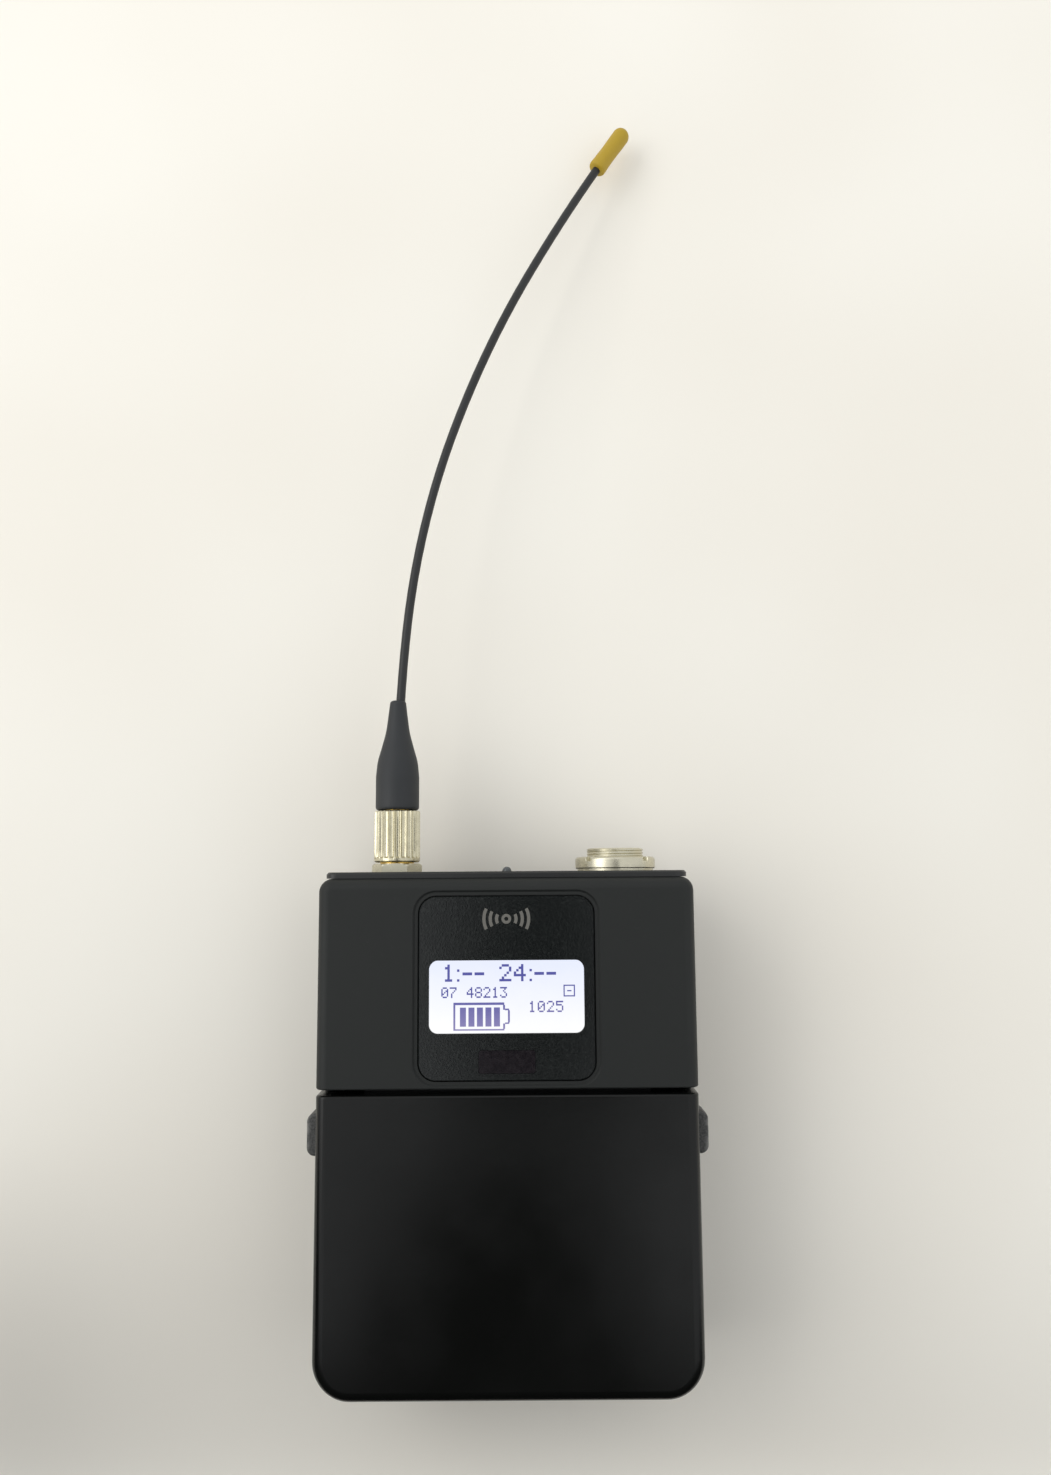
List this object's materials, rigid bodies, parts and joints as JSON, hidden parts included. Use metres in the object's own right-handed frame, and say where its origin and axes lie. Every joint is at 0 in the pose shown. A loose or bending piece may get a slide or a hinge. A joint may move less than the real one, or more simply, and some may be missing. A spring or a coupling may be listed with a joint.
{
  "type": "wireless guitar transmitter",
  "caption": "Body-worn wireless transmitter with a whip antenna, lit display, input socket, hinged battery door and belt clip.",
  "frame": {"origin": "on the outer face of the belt clip, on the middle line of the case across its width and along its length", "axes": "+X to the right seen from the display, +Y towards the antenna, +Z out of the display"},
  "size_m": [0.0698, 0.2454, 0.029],
  "materials": {
    "case": "matte charcoal paint on a cast metal shell",
    "end_plastic": "matte black",
    "steel": "bright",
    "tab_plastic": "fine grained dark grey",
    "spring_steel": "spring wire",
    "foam": "closed foam",
    "inner_plastic": "matte black",
    "cell_wrap": "plain printed sleeve",
    "contact_metal": "nickel plated",
    "button_rubber": "matte grey",
    "board": "green solder mask",
    "screen_metal": "satin",
    "ribbon": "amber film",
    "panel": "fine grained satin",
    "display": "lit display",
    "infrared": "infrared passing dark plastic",
    "lamp": "clear light pipe",
    "gold": "gold plated",
    "insulator": "white",
    "insulator_black": "black",
    "nickel": "champagne nickel",
    "whip": "black sleeve",
    "boot_rubber": "matte black",
    "tip_cap": "mustard yellow",
    "clip_steel": "black coated spring steel",
    "screw_steel": "black oxide",
    "label": "plain"
  },
  "bodies": {
    "case": {"rear_shell": "case", "front_cover": "case", "end_plate": "end_plastic", "battery_cradle": "inner_plastic", "aa_cell_lower": "cell_wrap", "aa_cell_upper": "cell_wrap", "coil_contact_lower": "spring_steel", "coil_contact_upper": "spring_steel", "contact_plate_left": "contact_metal", "contact_plate_right": "contact_metal", "control_deck": "inner_plastic", "tact_switches": "inner_plastic", "main_board": "board", "rf_shield": "contact_metal", "screen_frame": "inner_plastic", "screen_module": "screen_metal", "screen_ribbon": "ribbon", "screen_panel": "panel", "display_window": "display", "infrared_window": "infrared", "infrared_transceiver": "infrared", "lamp_pipe": "lamp", "status_lamp": "lamp", "slide_switch": "contact_metal", "antenna_jack": "gold", "jack_insulator": "insulator", "jack_nut": "nickel", "antenna_ferrule": "gold", "antenna_whip": "whip", "antenna_boot": "boot_rubber", "antenna_tip": "tip_cap", "socket_barrel": "nickel", "socket_washer": "nickel", "socket_nut": "nickel", "socket_insert": "insulator_black", "socket_pins": "gold", "case_screws": "screw_steel", "rear_label": "label"},
    "door": {"battery_door": "case", "hinge_pin_left": "steel", "hinge_pin_right": "steel", "door_pad": "foam", "latch_spring_left": "spring_steel", "latch_spring_right": "spring_steel"},
    "latch_left": {"latch_tab_left": "tab_plastic"},
    "latch_right": {"latch_tab_right": "tab_plastic"},
    "power_slider": {"power_slider": "tab_plastic"},
    "collar": {"antenna_collar": "nickel"},
    "clip": {"belt_clip": "clip_steel"},
    "button_1": {"menu_button_1": "button_rubber"},
    "button_2": {"menu_button_2": "button_rubber"},
    "button_3": {"menu_button_3": "button_rubber"},
    "button_4": {"menu_button_4": "button_rubber"}
  },
  "joints": [
    {"name": "door_hinge", "type": "hinge", "parent": "case", "child": "door", "pos_m": [0, -0.0406, 0.0202], "axis": [1, 0, 0], "range_deg": [0, 90]},
    {"name": "latch_left_press", "type": "slide", "parent": "door", "child": "latch_left", "axis": [1, 0, 0], "range_m": [0, 0.0012], "stiffness_N_per_m": 800, "springref_m": -0.001, "deforming": ["latch_spring_left"]},
    {"name": "latch_right_press", "type": "slide", "parent": "door", "child": "latch_right", "axis": [-1, 0, 0], "range_m": [0, 0.0012], "stiffness_N_per_m": 800, "springref_m": -0.001, "deforming": ["latch_spring_right"]},
    {"name": "power_slide", "type": "slide", "parent": "case", "child": "power_slider", "axis": [1, 0, 0], "range_m": [0, 0.003]},
    {"name": "button_1_press", "type": "slide", "parent": "case", "child": "button_1", "axis": [0, 0, -1], "range_m": [0, 0.0004], "stiffness_N_per_m": 2000, "springref_m": -0.0004},
    {"name": "button_2_press", "type": "slide", "parent": "case", "child": "button_2", "axis": [0, 0, -1], "range_m": [0, 0.0004], "stiffness_N_per_m": 2000, "springref_m": -0.0004},
    {"name": "button_3_press", "type": "slide", "parent": "case", "child": "button_3", "axis": [0, 0, -1], "range_m": [0, 0.0004], "stiffness_N_per_m": 2000, "springref_m": -0.0004},
    {"name": "button_4_press", "type": "slide", "parent": "case", "child": "button_4", "axis": [0, 0, -1], "range_m": [0, 0.0004], "stiffness_N_per_m": 2000, "springref_m": -0.0004},
    {"name": "collar_spin", "type": "hinge", "parent": "case", "child": "collar", "pos_m": [-0.0204, 0.05, 0.0175], "axis": [0, 1, 0], "continuous": true},
    {"name": "clip_hinge", "type": "hinge", "parent": "case", "child": "clip", "pos_m": [0, 0.025, 0.0035], "axis": [1, 0, 0], "range_deg": [0, 12], "stiffness_Nm_per_rad": 1.5, "springref_deg": -5.73}
  ]
}
